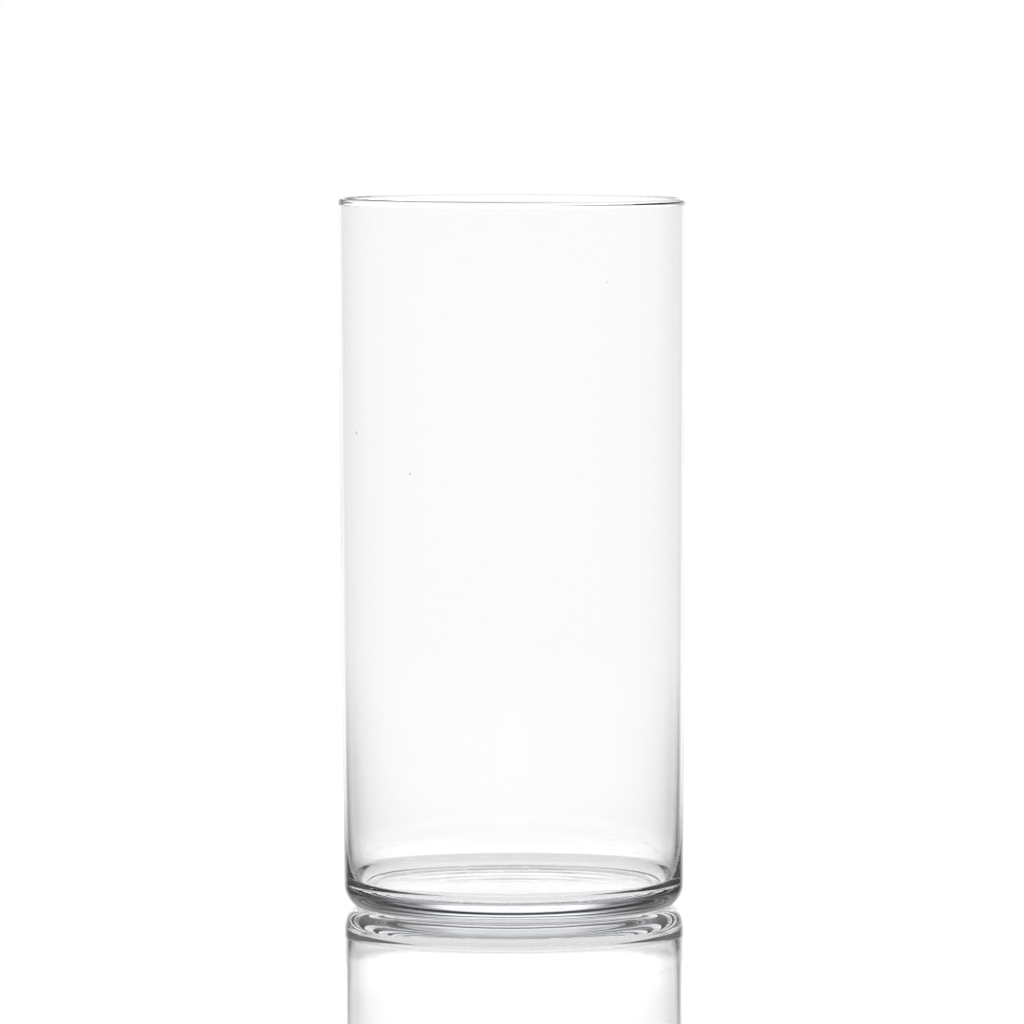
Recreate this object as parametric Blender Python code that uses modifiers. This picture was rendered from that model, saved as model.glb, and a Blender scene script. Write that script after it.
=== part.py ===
"""A clear glass cylinder vase, blown in one piece: a thin straight wall with a fire-polished bead at the lip, a
rounded heel, and a thick floor with a shallow push-up, so that the vase stands on a flat ring.

Metres, +Z up. The origin is at the centre of the ring that the vase stands on, and Z is the axis of the wall.
"""

import math

import bpy

# Driving dimensions
HEIGHT = 0.250
TOP_DIAMETER = 0.122
FOOT_DIAMETER = 0.120  # the wall leans out by a millimetre on its way up

# Wall, thinnest below the lip, with a swell into the inside corner and a bead round the lip
WALL_TOP = 0.0010
WALL_FOOT = 0.0020
WALL_SWELL = 0.0011
SWELL_FADE = 0.010
BEAD_BULGE = 0.0005
BEAD_DEPTH = 0.0014
BEAD_FADE = 0.0002

# Heel, where the wall turns in to the standing ring
HEEL_WIDTH = 0.0054
HEEL_HEIGHT = 0.0075

# Standing ring and the push-up inside it
RING_WIDTH = 0.0040
PUSH_UP = 0.0012

# Inside of the bottom
FLOOR_EDGE = 0.0060
FLOOR_CROWN = 0.0006
CORNER_WIDTH = 0.0080
CORNER_HEIGHT = 0.0050

# Fineness of the turned surface
STEPS = 80
ARC_STEPS = 6
SPAN_STEPS = 5
SWELL_STEPS = 6
BEAD_STEPS = 4


def wall_radius(z):
    """Outer radius of the straight wall at height z, from the top of the heel to the lip."""
    share = (z - HEEL_HEIGHT) / (HEIGHT - HEEL_HEIGHT)
    return (FOOT_DIAMETER + (TOP_DIAMETER - FOOT_DIAMETER) * share) / 2


def wall_thickness(z):
    swell = WALL_SWELL * math.exp(-(z - FLOOR_EDGE - CORNER_HEIGHT) / SWELL_FADE)
    bead = BEAD_BULGE * (1 - math.tanh((HEIGHT - z - BEAD_DEPTH) / BEAD_FADE)) / 2
    return WALL_FOOT + (WALL_TOP - WALL_FOOT) * z / HEIGHT + swell + bead


def bore_heights(corner_top):
    """Heights up the inside of the wall, close together only in the swell and at the bead."""
    heights = [corner_top + SWELL_FADE * i / 2 for i in range(1, SWELL_STEPS + 1)]
    for i in range(BEAD_STEPS + 1):
        heights.append(HEIGHT - BEAD_DEPTH + BEAD_FADE * (4 * i / BEAD_STEPS - 2))
    return heights


def arc(centre, half_width, half_height, start, end):
    """Points of an elliptical arc from start to end, in degrees counted from +X."""
    points = []
    for i in range(ARC_STEPS + 1):
        angle = math.radians(start + (end - start) * i / ARC_STEPS)
        x = centre[0] + half_width * math.cos(angle)
        points.append((x, centre[1] + half_height * math.sin(angle)))
    return points


def dome(edge_radius, edge_z, rise):
    """Points of a shallow cosine dome from the axis towards its edge, without the point at the edge."""
    points = []
    for i in range(SPAN_STEPS):
        r = edge_radius * i / SPAN_STEPS
        points.append((r, edge_z + rise * (1 + math.cos(math.pi * r / edge_radius)) / 2))
    return points


def vase_profile():
    """Half section, from the middle of the inner floor, up the inside, over the lip, down the outside and
    under the bottom to the axis."""
    corner_top = FLOOR_EDGE + CORNER_HEIGHT
    corner_x = wall_radius(corner_top) - wall_thickness(corner_top) - CORNER_WIDTH
    lip_radius = wall_thickness(HEIGHT) / 2
    lip_x = TOP_DIAMETER / 2 - lip_radius
    heel_x = FOOT_DIAMETER / 2 - HEEL_WIDTH
    push_up_radius = heel_x - RING_WIDTH

    points = dome(corner_x, FLOOR_EDGE, FLOOR_CROWN)
    points += arc((corner_x, corner_top), CORNER_WIDTH, CORNER_HEIGHT, -90, 0)
    points += [(wall_radius(z) - wall_thickness(z), z) for z in bore_heights(corner_top)]
    points += arc((lip_x, HEIGHT - lip_radius), lip_radius, lip_radius, 180, 0)
    points += arc((heel_x, HEEL_HEIGHT), HEEL_WIDTH, HEEL_HEIGHT, 0, -90)
    points.append((push_up_radius, 0))
    points += dome(push_up_radius, 0, PUSH_UP)[::-1]
    return points


def turn(name, profile, collection):
    """An object turned about Z from a half section whose ends lie on the axis."""
    mesh = bpy.data.meshes.new(name)
    edges = [(i, i + 1) for i in range(len(profile) - 1)]
    mesh.from_pydata([(x, 0, z) for x, z in profile], edges, [])
    turned = bpy.data.objects.new(name, mesh)
    collection.objects.link(turned)

    screw = turned.modifiers.new("Turn", "SCREW")
    screw.axis = "Z"
    screw.angle = math.tau
    screw.steps = STEPS
    screw.render_steps = STEPS
    screw.use_merge_vertices = True
    screw.merge_threshold = 0.00005
    screw.use_smooth_shade = True
    return turned


def clear_glass():
    """Colourless soda-lime glass."""
    material = bpy.data.materials.new("clear_glass")
    material.use_nodes = True
    shader = material.node_tree.nodes["Principled BSDF"]
    shader.inputs["Base Color"].default_value = (0.98, 0.99, 1.0, 1)
    shader.inputs["Metallic"].default_value = 0
    shader.inputs["Roughness"].default_value = 0
    shader.inputs["IOR"].default_value = 1.52
    shader.inputs["Transmission Weight"].default_value = 1
    return material


def main():
    for old in list(bpy.data.objects):
        bpy.data.objects.remove(old)

    collection = bpy.data.collections.new("glass_cylinder_vase")
    bpy.context.scene.collection.children.link(collection)

    vase = turn("vase_body", vase_profile(), collection)
    vase.data.materials.append(clear_glass())


main()
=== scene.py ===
"""The looks of a clear blown glass cylinder vase, standing on a polished pale sheet before a bright backdrop."""

import math

import bpy
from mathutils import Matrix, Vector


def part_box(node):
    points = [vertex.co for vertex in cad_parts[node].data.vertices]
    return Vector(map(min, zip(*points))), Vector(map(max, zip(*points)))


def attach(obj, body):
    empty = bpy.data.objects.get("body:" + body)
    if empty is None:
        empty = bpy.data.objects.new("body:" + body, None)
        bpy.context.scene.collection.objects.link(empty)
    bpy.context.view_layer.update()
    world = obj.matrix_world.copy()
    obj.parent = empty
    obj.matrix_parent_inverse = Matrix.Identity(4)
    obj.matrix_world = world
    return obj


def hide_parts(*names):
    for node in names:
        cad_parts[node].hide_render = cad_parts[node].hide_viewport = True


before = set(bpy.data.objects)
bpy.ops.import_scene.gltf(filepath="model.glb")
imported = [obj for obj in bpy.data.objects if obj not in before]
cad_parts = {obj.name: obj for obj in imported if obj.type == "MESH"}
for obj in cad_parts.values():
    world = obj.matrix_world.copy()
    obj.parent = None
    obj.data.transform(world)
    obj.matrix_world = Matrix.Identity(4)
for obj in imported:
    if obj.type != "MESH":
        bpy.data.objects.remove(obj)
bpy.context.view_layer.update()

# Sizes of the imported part
NODE = "vase_body"
top_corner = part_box(NODE)[1]
HEIGHT = top_corner.z
TOP_RADIUS = top_corner.x

# Wall
FOOT_RADIUS = TOP_RADIUS - 0.0010
WALL_TOP = 0.0010
WALL_FOOT = 0.0020
WALL_SWELL = 0.0011  # extra thickness just above the inside corner
SWELL_FADE = 0.010
BORE_OFFSET = 0.00018

# Lip, with a bead on the inside of the wall
BEAD_BULGE = 0.0005
BEAD_DEPTH = 0.0014
BEAD_FADE = 0.0002
BEAD_SADDLE = 0.45  # share by which the bead grows and shrinks twice round the lip
BEAD_WAVE = 0.00012  # how far its lower edge wanders up and down
DROP_GROWTH = 1.6  # share by which the bead thickens at one place
DROP_PLACE = 152  # in degrees from +X
DROP_WIDTH = 16
LIP_TILT = 0.00025
LIP_TILT_REACH = 0.03  # the tilt dies out this far below the lip

# Heel, where the wall turns in to the standing ring, and the push-up inside the ring
HEEL_WIDTH = 0.0054
HEEL_HEIGHT = 0.0075
HEEL_SHARPNESS = 1.1  # 1 is an ellipse, and more is closer to a chamfer
RING_WIDTH = 0.0040
PUSH_UP = 0.0012

# Inside of the bottom
FLOOR_EDGE = 0.0060
FLOOR_CROWN = 0.0006
CORNER_WIDTH = 0.0080
CORNER_HEIGHT = 0.0050

# Fineness of the turned surface
TURN_STEPS = 360
ARC_STEPS = 14
WALL_STEPS = 90
SPAN_STEPS = 24
MERGE_DISTANCE = 0.00001

# Glass, in which light runs sideways through the thick floor in many bounces
GLASS_IOR = 1.52
GLASS_TINT = (0.80, 0.815, 0.85, 1)
GLASS_DENSITY = 10
GLASS_BOUNCES = 40

# Surface of the glass
WAVE_SCALE = 22
WAVE_HEIGHT = 0.00002
PIT_SCALE = 42
PIT_SIZE = 0.0005
PIT_DEPTH = 0.0002
SCRATCH_SLANT = 20  # in degrees
SCRATCH_STRETCH = (130, 130, 2200)
SCRATCH_START = 0.74  # noise below this is unscratched, so higher is sparser
SCRATCH_FULL = 0.78
SCRATCH_DEPTH = 0.00003
WORN_HEIGHT = 0.030

# Polished sheet under the vase, which mirrors little when faced and fully at a glancing look
SHEET_RADIUS = 1.1
SHEET_SIDES = 128
SHEET_GAP = 0.00005
SHEET_GLOW = 0.9
SHEET_MIRROR = 0.8
MIRROR_FACING = 0.1
MIRROR_GLANCING = 1.0
FACING_LIMIT = 0.5
GLANCING_LIMIT = 0.9
CAMERA_LIFT = 0.08  # glow added for the camera alone
FADE_START = 0.05

# Studio: glow by the sine of the elevation, and half widths in degrees
ROOM_LEVELS = ((-0.03, 0.7), (0.03, 0.3), (0.10, 0.1), (0.25, 0.02))
BACKDROP_LEVELS = (
    (-0.01, 1.02), (0.03, 1.6), (0.08, 1.6), (0.10, 1.45), (0.14, 1.38), (0.2, 1.6),
    (0.3, 1.0), (0.5, 1.0), (0.6, 1.4), (0.85, 0.5), (1, 0.3),
)
BACKDROP_FULL = 12
BACKDROP_EDGE = 28
SOFTBOX_RISE = 45
SOFTBOX_FULL = 28
SOFTBOX_EDGE = 48
SOFTBOX_GLOW = 0.6

# Camera
CAMERA_DISTANCE = 2.70
CAMERA_HEIGHT = 0.311
AIM_HEIGHT = 0.1390
AIM_SIDE = 0.0003
ROLL = 0.18
FRAME_WIDTH = 0.3610
SENSOR = 36.0
VIEW_DEPTH = 50


def wall_radius(z):
    """Outer radius of the straight wall at height z."""
    share = (z - HEEL_HEIGHT) / (HEIGHT - HEEL_HEIGHT)
    return FOOT_RADIUS + (TOP_RADIUS - FOOT_RADIUS) * share


def bead(z):
    """How far the bead stands in from the wall at height z."""
    return BEAD_BULGE * (1 - math.tanh((HEIGHT - z - BEAD_DEPTH) / BEAD_FADE)) / 2


def wall_thickness(z):
    """Thickness at height z, with the swell into the inside corner and the bead at the lip."""
    share = z / HEIGHT
    swell = WALL_SWELL * math.exp(-(z - FLOOR_EDGE - CORNER_HEIGHT) / SWELL_FADE)
    return WALL_FOOT + (WALL_TOP - WALL_FOOT) * share + swell + bead(z)


def arc(centre, half_width, half_height, start, end, sharpness=1):
    """Points of an arc from start to end, in degrees counted from +X."""
    points = []
    for i in range(ARC_STEPS + 1):
        angle = math.radians(start + (end - start) * i / ARC_STEPS)
        across, up = math.cos(angle), math.sin(angle)
        x = centre[0] + half_width * math.copysign(abs(across) ** sharpness, across)
        z = centre[1] + half_height * math.copysign(abs(up) ** sharpness, up)
        points.append((x, z))
    return points


def spaced_heights(start, end):
    """Heights between start and end, closest together near both ends."""
    return [start + (end - start) * (1 - math.cos(math.pi * i / WALL_STEPS)) / 2 for i in range(1, WALL_STEPS)]


def dome(edge_radius, edge_z, rise):
    """Points of a shallow cosine dome from the axis towards its edge, without the point at the edge."""
    points = []
    for i in range(SPAN_STEPS):
        r = edge_radius * i / SPAN_STEPS
        points.append((r, edge_z + rise * (1 + math.cos(math.pi * r / edge_radius)) / 2))
    return points


def glass_profile():
    """Half section, from the middle of the inner floor, up the inside, over the lip, down the outside and
    under the bottom to the axis."""
    corner_top = FLOOR_EDGE + CORNER_HEIGHT
    corner_x = wall_radius(corner_top) - wall_thickness(corner_top) - CORNER_WIDTH
    lip_radius = wall_thickness(HEIGHT) / 2
    lip_x = TOP_RADIUS - lip_radius
    lip_z = HEIGHT - lip_radius
    heel_x = FOOT_RADIUS - HEEL_WIDTH
    push_up_radius = heel_x - RING_WIDTH

    points = dome(corner_x, FLOOR_EDGE, FLOOR_CROWN)
    points += arc((corner_x, corner_top), CORNER_WIDTH, CORNER_HEIGHT, -90, 0)
    points += [(wall_radius(z) - wall_thickness(z), z) for z in spaced_heights(corner_top, lip_z)]
    points += arc((lip_x, lip_z), lip_radius, lip_radius, 180, 0)
    points += [(wall_radius(z), z) for z in spaced_heights(lip_z, HEEL_HEIGHT)]
    points += arc((heel_x, HEEL_HEIGHT), HEEL_WIDTH, HEEL_HEIGHT, 0, -90, HEEL_SHARPNESS)
    points += dome(push_up_radius, 0, PUSH_UP)[::-1]
    return points


def turned_mesh(name, profile):
    """An object turned about Z from a half section whose ends lie on the axis."""
    mesh = bpy.data.meshes.new(name)
    edges = [(i, i + 1) for i in range(len(profile) - 1)]
    mesh.from_pydata([(x, 0, z) for x, z in profile], edges, [])
    turned = bpy.data.objects.new(name, mesh)
    bpy.context.scene.collection.objects.link(turned)
    screw = turned.modifiers.new("Turn", "SCREW")
    screw.steps = TURN_STEPS
    screw.render_steps = TURN_STEPS
    screw.use_merge_vertices = True
    screw.merge_threshold = MERGE_DISTANCE
    screw.use_smooth_shade = True
    graph = bpy.context.evaluated_depsgraph_get()
    final = bpy.data.meshes.new_from_object(turned.evaluated_get(graph))
    turned.modifiers.clear()
    turned.data = final
    return turned


def make_uneven(mesh):
    """Blown glass is never quite true: the bore sits to one side, and the lip is neither level nor even."""
    for vertex in mesh.vertices:
        x, y, z = vertex.co
        radius = math.hypot(x, y)
        angle = math.atan2(y, x)
        if z > FLOOR_EDGE and radius > 0:
            inside = min(1, max(0, (wall_radius(z) - radius) / wall_thickness(z)))
            drop = DROP_GROWTH * math.exp(-(((math.degrees(angle) - DROP_PLACE) / DROP_WIDTH) ** 2))
            growth = inside * bead(z) * (drop - BEAD_SADDLE * math.sin(2 * angle))
            vertex.co.x -= growth * x / radius + inside * BORE_OFFSET * radius / TOP_RADIUS
            vertex.co.y -= growth * y / radius
            vertex.co.z -= inside * bead(z) / BEAD_BULGE * BEAD_WAVE * (1 + math.sin(3 * angle))
        near_lip = max(0, (z - HEIGHT + LIP_TILT_REACH) / LIP_TILT_REACH)
        vertex.co.z -= LIP_TILT * (1 + x / TOP_RADIUS) * near_lip


def combined(tree, kind, operation, *values):
    """The result of a Math or Vector Math node over values, each a socket or a fixed number or vector."""
    node = tree.nodes.new(kind)
    node.operation = operation
    for socket, value in zip(node.inputs, values):
        if isinstance(value, bpy.types.NodeSocket):
            tree.links.new(value, socket)
        else:
            socket.default_value = value
    return next(output for output in node.outputs if output.enabled)


def numbers(tree, operation, *values):
    return combined(tree, "ShaderNodeMath", operation, *values)


def vectors(tree, operation, *values):
    return combined(tree, "ShaderNodeVectorMath", operation, *values)


def level_part(tree, vector):
    """The vector without its height."""
    return vectors(tree, "MULTIPLY", vector, (1, 1, 0))


def height_part(tree, vector):
    parts = tree.nodes.new("ShaderNodeSeparateXYZ")
    tree.links.new(vector, parts.inputs[0])
    return parts.outputs["Z"]


def smooth_range(tree, value, start, end, low, high):
    """The value mapped smoothly from start..end onto low..high."""
    ramp = tree.nodes.new("ShaderNodeMapRange")
    ramp.interpolation_type = "SMOOTHSTEP"
    ramp.inputs["From Min"].default_value = start
    ramp.inputs["From Max"].default_value = end
    ramp.inputs["To Min"].default_value = low
    ramp.inputs["To Max"].default_value = high
    tree.links.new(value, ramp.inputs["Value"])
    return ramp.outputs["Result"]


def relief(tree, height, distance, below=None):
    """A bump of the given height, laid over the normal of the bump below it."""
    bump = tree.nodes.new("ShaderNodeBump")
    bump.inputs["Distance"].default_value = distance
    tree.links.new(height, bump.inputs["Height"])
    if below:
        tree.links.new(below, bump.inputs["Normal"])
    return bump.outputs["Normal"]


def noise(tree, place, scale, detail):
    texture = tree.nodes.new("ShaderNodeTexNoise")
    texture.inputs["Scale"].default_value = scale
    texture.inputs["Detail"].default_value = detail
    tree.links.new(place, texture.inputs["Vector"])
    return texture.outputs["Fac"]


def worn_area(tree, position):
    """1 low down on the outside of the wall, and 0 everywhere else."""
    radius = vectors(tree, "LENGTH", level_part(tree, position))
    outside = smooth_range(tree, radius, FOOT_RADIUS - WALL_TOP, FOOT_RADIUS, 0, 1)
    low = smooth_range(tree, height_part(tree, position), WORN_HEIGHT / 2, WORN_HEIGHT, 1, 0)
    return numbers(tree, "MULTIPLY", outside, low)


def surface_normal(tree):
    """Slow waves of blown glass, a few pin-head pits, and fine scratches where the foot has been slid about."""
    position = tree.nodes.new("ShaderNodeNewGeometry").outputs["Position"]
    waves = noise(tree, position, WAVE_SCALE, 1)

    cells = tree.nodes.new("ShaderNodeTexVoronoi")
    cells.inputs["Scale"].default_value = PIT_SCALE
    tree.links.new(position, cells.inputs["Vector"])
    pits = smooth_range(tree, cells.outputs["Distance"], 0, PIT_SIZE * PIT_SCALE, 0, 1)

    slant = tree.nodes.new("ShaderNodeMapping")
    slant.inputs["Rotation"].default_value = (0, 0, math.radians(SCRATCH_SLANT))
    slant.inputs["Scale"].default_value = SCRATCH_STRETCH
    tree.links.new(position, slant.inputs["Vector"])
    grooves = noise(tree, slant.outputs["Vector"], 1, 0)
    scratches = smooth_range(tree, grooves, SCRATCH_START, SCRATCH_FULL, 0, 1)
    cut = numbers(tree, "MULTIPLY", scratches, worn_area(tree, position))

    normal = relief(tree, waves, WAVE_HEIGHT)
    normal = relief(tree, pits, PIT_DEPTH, normal)
    return relief(tree, cut, -SCRATCH_DEPTH, normal)


def clear_glass():
    material = bpy.data.materials.new("clear_glass")
    material.use_nodes = True
    tree = material.node_tree
    shader = tree.nodes["Principled BSDF"]
    shader.inputs["Base Color"].default_value = (1, 1, 1, 1)
    shader.inputs["Roughness"].default_value = 0
    shader.inputs["IOR"].default_value = GLASS_IOR
    shader.inputs["Transmission Weight"].default_value = 1
    tree.links.new(surface_normal(tree), shader.inputs["Normal"])

    depth = tree.nodes.new("ShaderNodeVolumeAbsorption")
    depth.inputs["Color"].default_value = GLASS_TINT
    depth.inputs["Density"].default_value = GLASS_DENSITY
    tree.links.new(depth.outputs["Volume"], tree.nodes["Material Output"].inputs["Volume"])
    return material


def layered(tree, kind, first, second, share=None):
    """Two shaders added, or mixed by the share of the second."""
    node = tree.nodes.new(kind)
    if share:
        tree.links.new(share, node.inputs["Fac"])
    tree.links.new(first, node.inputs[-2])
    tree.links.new(second, node.inputs[-1])
    return node.outputs[0]


def sheet_material():
    """A polished pale sheet, nearly a mirror at a glancing look, which melts into the backdrop with distance."""
    material = bpy.data.materials.new("gloss_pale_sheet")
    material.use_nodes = True
    tree = material.node_tree
    tree.nodes.clear()

    matt = tree.nodes.new("ShaderNodeEmission")
    matt.inputs["Strength"].default_value = SHEET_GLOW
    gloss = tree.nodes.new("ShaderNodeBsdfGlossy")
    gloss.inputs["Color"].default_value = (SHEET_MIRROR, SHEET_MIRROR, SHEET_MIRROR, 1)
    gloss.inputs["Roughness"].default_value = 0
    facing = tree.nodes.new("ShaderNodeLayerWeight").outputs["Facing"]
    polish = smooth_range(tree, facing, FACING_LIMIT, GLANCING_LIMIT, MIRROR_FACING, MIRROR_GLANCING)
    sheet = layered(tree, "ShaderNodeMixShader", matt.outputs[0], gloss.outputs[0], polish)

    camera_ray = tree.nodes.new("ShaderNodeLightPath").outputs["Is Camera Ray"]
    glow = tree.nodes.new("ShaderNodeEmission")
    tree.links.new(numbers(tree, "MULTIPLY", camera_ray, CAMERA_LIFT), glow.inputs["Strength"])
    lifted = layered(tree, "ShaderNodeAddShader", sheet, glow.outputs[0])

    distance = vectors(tree, "LENGTH", tree.nodes.new("ShaderNodeNewGeometry").outputs["Position"])
    fade = smooth_range(tree, distance, FADE_START, SHEET_RADIUS, 0, 1)
    clear = tree.nodes.new("ShaderNodeBsdfTransparent")
    faded = layered(tree, "ShaderNodeMixShader", lifted, clear.outputs[0], fade)
    out = tree.nodes.new("ShaderNodeOutputMaterial")
    tree.links.new(faded, out.inputs["Surface"])
    return material


def make_floor():
    bpy.ops.mesh.primitive_circle_add(vertices=SHEET_SIDES, radius=SHEET_RADIUS, fill_type="NGON")
    floor = bpy.context.object
    floor.name = "floor"
    floor.location.z = -SHEET_GAP
    floor.data.materials.append(sheet_material())


def glow_by_height(tree, height, levels):
    """A smooth curve of glow over the sine of the elevation, which height holds as 0..1."""
    ramp = tree.nodes.new("ShaderNodeValToRGB")
    ramp.color_ramp.interpolation = "EASE"
    stops = ramp.color_ramp.elements
    while len(stops) < len(levels):
        stops.new(0.5)
    for stop, (sine, glow) in zip(stops, levels):
        stop.position = 0.5 + sine / 2
        stop.color = (glow, glow, glow, 1)
    tree.links.new(height, ramp.inputs["Fac"])
    return ramp.outputs["Color"]


def lobe(tree, heading, centre, full, edge, strength):
    """The strength within full degrees of the centre, fading to nothing at edge degrees."""
    cosine = vectors(tree, "DOT_PRODUCT", heading, centre)
    return smooth_range(tree, cosine, math.cos(math.radians(edge)), math.cos(math.radians(full)), 0, strength)


def mixed(tree, share, first, second):
    """A number from first to second by the share, where second may be fixed."""
    node = tree.nodes.new("ShaderNodeMix")
    tree.links.new(share, node.inputs["Factor"])
    tree.links.new(first, node.inputs["A"])
    if isinstance(second, bpy.types.NodeSocket):
        tree.links.new(second, node.inputs["B"])
    else:
        node.inputs["B"].default_value = second
    return node.outputs["Result"]


def make_world():
    """A bright backdrop behind the vase in a dim room, with a softbox above and behind. The camera itself sees
    plain white."""
    world = bpy.data.worlds.new("studio")
    bpy.context.scene.world = world
    world.use_nodes = True
    tree = world.node_tree

    direction = tree.nodes.new("ShaderNodeTexCoord").outputs["Generated"]
    heading = vectors(tree, "NORMALIZE", level_part(tree, direction))
    height = numbers(tree, "MULTIPLY_ADD", height_part(tree, direction), 0.5, 0.5)
    room = glow_by_height(tree, height, ROOM_LEVELS)
    backdrop = glow_by_height(tree, height, BACKDROP_LEVELS)
    behind = lobe(tree, heading, (0, 1, 0), BACKDROP_FULL, BACKDROP_EDGE, 1)

    rise = math.radians(SOFTBOX_RISE)
    above = (0, math.cos(rise), math.sin(rise))
    softbox = lobe(tree, direction, above, SOFTBOX_FULL, SOFTBOX_EDGE, SOFTBOX_GLOW)
    lit = numbers(tree, "MAXIMUM", mixed(tree, behind, room, backdrop), softbox)

    camera_ray = tree.nodes.new("ShaderNodeLightPath").outputs["Is Camera Ray"]
    background = tree.nodes["Background"]
    background.inputs["Color"].default_value = (1, 1, 1, 1)
    tree.links.new(mixed(tree, camera_ray, lit, 1), background.inputs["Strength"])


def make_camera():
    data = bpy.data.cameras.new("camera")
    camera = bpy.data.objects.new("camera", data)
    bpy.context.scene.collection.objects.link(camera)
    camera.location = (AIM_SIDE, -CAMERA_DISTANCE, CAMERA_HEIGHT)
    pitch = math.atan2(CAMERA_HEIGHT - AIM_HEIGHT, CAMERA_DISTANCE)
    camera.rotation_euler = (math.pi / 2 - pitch, math.radians(ROLL), 0)
    reach = math.hypot(CAMERA_DISTANCE, CAMERA_HEIGHT - AIM_HEIGHT)
    data.sensor_width = SENSOR
    data.lens = SENSOR * reach / FRAME_WIDTH
    data.clip_end = VIEW_DEPTH
    bpy.context.scene.camera = camera


def set_light_paths():
    cycles = bpy.context.scene.cycles
    cycles.max_bounces = GLASS_BOUNCES
    cycles.transmission_bounces = GLASS_BOUNCES
    cycles.glossy_bounces = GLASS_BOUNCES


set_light_paths()
bpy.context.scene.view_settings.view_transform = "Standard"

vase = turned_mesh("vase_glass", glass_profile())
make_uneven(vase.data)
vase.data.materials.clear()
vase.data.materials.append(clear_glass())
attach(vase, "root")
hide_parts(NODE)

make_floor()
make_world()
make_camera()
